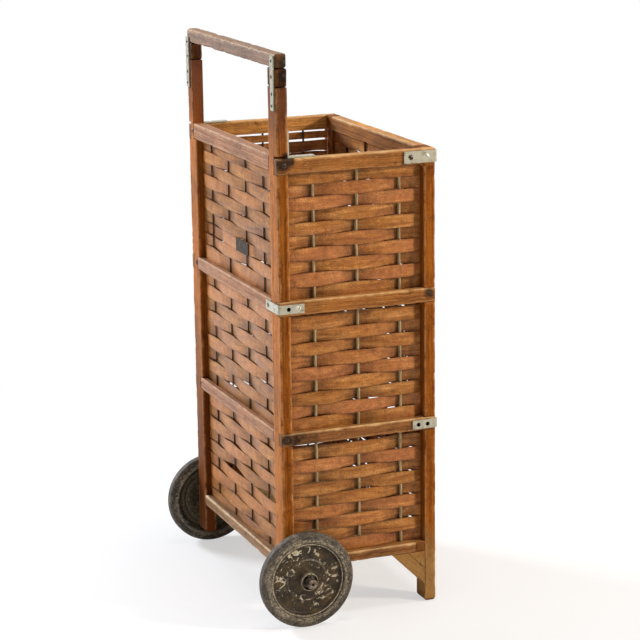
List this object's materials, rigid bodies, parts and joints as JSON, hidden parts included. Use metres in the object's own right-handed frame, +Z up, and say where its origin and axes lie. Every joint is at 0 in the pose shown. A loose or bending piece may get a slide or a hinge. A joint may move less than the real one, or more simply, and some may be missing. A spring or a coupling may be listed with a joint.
{
  "type": "rolling basket cart",
  "caption": "Tall splint-woven basket in a wooden frame, with a fixed push handle and disc wheels at the back and plain legs at the front.",
  "frame": {"origin": "bottom centre of the whole cart's box, on the floor", "axes": "+Z up, +X from the handle and wheels towards the front legs, +Y to the left of someone pushing it"},
  "size_m": [0.3192, 0.5304, 0.92],
  "materials": {
    "stained_wood": "old brown stain, worn pale on the edges",
    "splint_wood": "shaved splint, thin old varnish",
    "zinc_iron": "dull zinc",
    "axle_steel": "dark, greasy",
    "tyre_rubber": "dry, dusty",
    "wheel_paint": "chipped brown paint",
    "tag_metal": "blank, matt slate grey"
  },
  "bodies": {
    "cart": {"axle": "axle_steel", "axle_bolster": "stained_wood", "axle_collar_left": "axle_steel", "axle_collar_right": "axle_steel", "axle_strap_left": "zinc_iron", "axle_strap_right": "zinc_iron", "corner_block_left": "stained_wood", "corner_block_right": "stained_wood", "corner_iron_lower": "zinc_iron", "corner_iron_top": "zinc_iron", "corner_iron_upper_front": "zinc_iron", "corner_iron_upper_rear": "zinc_iron", "cotter_pin_left": "zinc_iron", "cotter_pin_right": "zinc_iron", "floor_slat_1": "stained_wood", "floor_slat_2": "stained_wood", "floor_slat_3": "stained_wood", "floor_slat_4": "stained_wood", "floor_slat_5": "stained_wood", "front_bottom_rail": "stained_wood", "front_cross_rail": "stained_wood", "front_left_post": "stained_wood", "front_lower_rail": "stained_wood", "front_right_post": "stained_wood", "front_top_rail": "stained_wood", "front_upper_rail": "stained_wood", "handle_bar": "stained_wood", "handle_spacer_left": "stained_wood", "handle_spacer_right": "stained_wood", "knee_brace_left": "stained_wood", "knee_brace_right": "stained_wood", "mending_plate_left": "zinc_iron", "mending_plate_right": "zinc_iron", "outer_washer_left": "zinc_iron", "outer_washer_right": "zinc_iron", "post_bracket_left": "zinc_iron", "post_bracket_right": "zinc_iron", "rear_bottom_rail": "stained_wood", "rear_left_post": "stained_wood", "rear_lower_rail": "stained_wood", "rear_right_post": "stained_wood", "rear_top_rail": "stained_wood", "rear_upper_rail": "stained_wood", "side_bottom_rail_left": "stained_wood", "side_bottom_rail_right": "stained_wood", "side_lower_rail_left": "stained_wood", "side_lower_rail_right": "stained_wood", "side_top_rail_left": "stained_wood", "side_top_rail_right": "stained_wood", "side_upper_rail_left": "stained_wood", "side_upper_rail_right": "stained_wood", "tag": "tag_metal", "woven_wall_front": "splint_wood", "woven_wall_left": "splint_wood", "woven_wall_rear": "splint_wood", "woven_wall_right": "splint_wood"},
    "wheel_right": {"tyre_right": "tyre_rubber", "wheel_disc_right": "wheel_paint"},
    "wheel_left": {"tyre_left": "tyre_rubber", "wheel_disc_left": "wheel_paint"}
  },
  "joints": [
    {"name": "wheel_right_spin", "type": "hinge", "parent": "cart", "child": "wheel_right", "pos_m": [-0.08095, 0, 0.0787], "axis": [0, 1, 0], "continuous": true},
    {"name": "wheel_left_spin", "type": "hinge", "parent": "cart", "child": "wheel_left", "pos_m": [-0.08095, 0, 0.0787], "axis": [0, 1, 0], "continuous": true}
  ]
}
